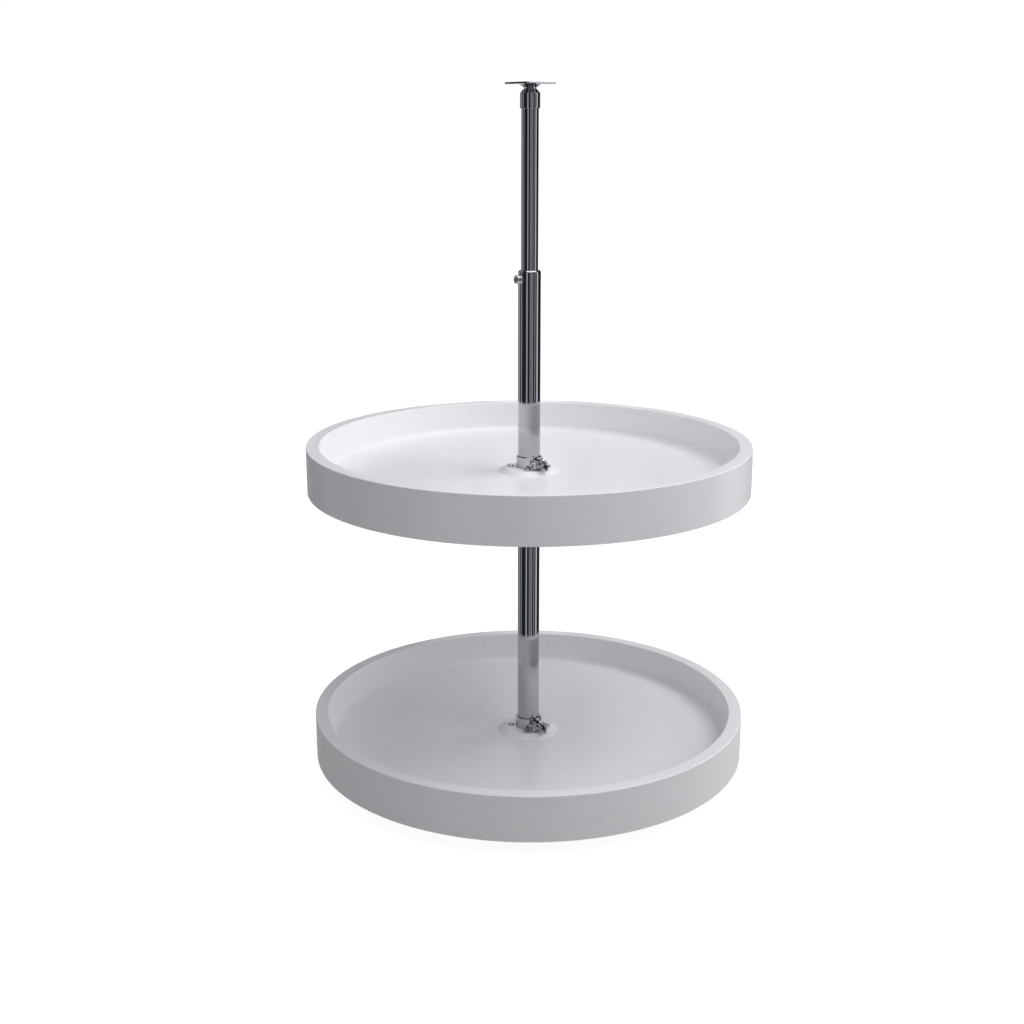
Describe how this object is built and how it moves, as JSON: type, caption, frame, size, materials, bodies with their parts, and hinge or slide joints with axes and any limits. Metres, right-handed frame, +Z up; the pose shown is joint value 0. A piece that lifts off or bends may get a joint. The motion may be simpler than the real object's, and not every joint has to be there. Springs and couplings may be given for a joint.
{
  "type": "rotating pantry tray unit",
  "caption": "Full-round rotating pantry trays with raised rims, clamped at adjustable heights to a telescoping chrome post that turns between a floor plate and a ceiling plate.",
  "frame": {"origin": "centre of the floor plate's underside, on the axis that the post turns about", "axes": "+Z up along the post's axis, -Y towards the cabinet door, +X to the right seen from the door"},
  "size_m": [0.508, 0.508, 0.7874],
  "materials": {
    "tray_polymer": "white injection-moulded ABS, fine satin texture",
    "chrome_tube": "bright chromium plate on drawn steel tube",
    "chrome_casting": "bright chromium plate on zinc die-casting",
    "chrome_pressing": "bright chromium plate on pressed steel",
    "zinc_fastener": "bright zinc plate on steel fasteners",
    "ground_steel": "ground and polished bearing steel",
    "cage_brass": "stamped brass, tumbled",
    "bush_nylon": "natural moulded nylon"
  },
  "bodies": {
    "base": {"base_plate": "chrome_pressing", "base_pivot_pin": "ground_steel", "lower_race": "ground_steel"},
    "bearing": {"ball_cage": "cage_brass", "bearing_balls": "ground_steel"},
    "post": {"upper_race": "ground_steel", "post_end_plug": "bush_nylon", "outer_tube": "chrome_tube", "guide_bush": "bush_nylon", "lock_insert": "zinc_fastener", "lock_washer": "zinc_fastener"},
    "lock": {"lock_screw": "zinc_fastener"},
    "upper_post": {"inner_tube": "chrome_tube", "slide_bush": "bush_nylon", "top_cap": "chrome_pressing", "top_bush": "bush_nylon"},
    "ceiling_mount": {"top_plate": "chrome_pressing", "top_pivot_pin": "ground_steel"},
    "lower_shelf": {"lower_tray": "tray_polymer", "lower_hub": "chrome_casting", "lower_hub_screws": "zinc_fastener", "lower_set_screw": "zinc_fastener", "lower_clamp_nut": "zinc_fastener", "lower_clamp_washer": "zinc_fastener"},
    "lower_clamp": {"lower_clamp_bolt": "zinc_fastener"},
    "upper_shelf": {"upper_tray": "tray_polymer", "upper_hub": "chrome_casting", "upper_hub_screws": "zinc_fastener", "upper_set_screw": "zinc_fastener", "upper_clamp_nut": "zinc_fastener", "upper_clamp_washer": "zinc_fastener"},
    "upper_clamp": {"upper_clamp_bolt": "zinc_fastener"}
  },
  "joints": [
    {"name": "post_spin", "type": "hinge", "parent": "base", "child": "post", "pos_m": [0, 0, 0], "axis": [0, 0, 1], "continuous": true},
    {"name": "bearing_roll", "type": "hinge", "parent": "base", "child": "bearing", "pos_m": [0, 0, 0], "axis": [0, 0, 1], "continuous": true},
    {"name": "ceiling_swivel", "type": "hinge", "parent": "upper_post", "child": "ceiling_mount", "pos_m": [0, 0, 0], "axis": [0, 0, 1], "continuous": true},
    {"name": "height_adjust", "type": "slide", "parent": "post", "child": "upper_post", "axis": [0, 0, 1], "range_m": [-0.127, 0]},
    {"name": "lock_release", "type": "slide", "parent": "post", "child": "lock", "axis": [-0.829, -0.5592, 0], "range_m": [0, 0.003]},
    {"name": "lower_shelf_height", "type": "slide", "parent": "post", "child": "lower_shelf", "axis": [0, 0, 1], "range_m": [-0.01, 0.15]},
    {"name": "upper_shelf_height", "type": "slide", "parent": "post", "child": "upper_shelf", "axis": [0, 0, 1], "range_m": [-0.1, 0.18]},
    {"name": "lower_clamp_turn", "type": "hinge", "parent": "lower_shelf", "child": "lower_clamp", "pos_m": [0.0121, -0.01863, 0.0472], "axis": [-0.8387, -0.5446, 0], "range_deg": [0, 360]},
    {"name": "upper_clamp_turn", "type": "hinge", "parent": "upper_shelf", "child": "upper_clamp", "pos_m": [0.0121, -0.01863, 0.3687], "axis": [-0.8387, -0.5446, 0], "range_deg": [0, 360]}
  ],
  "couplings": [
    {"joint": "bearing_roll", "follows": "post_spin", "ratio": 0.5},
    {"joint": "ceiling_swivel", "follows": "post_spin", "ratio": -1}
  ]
}
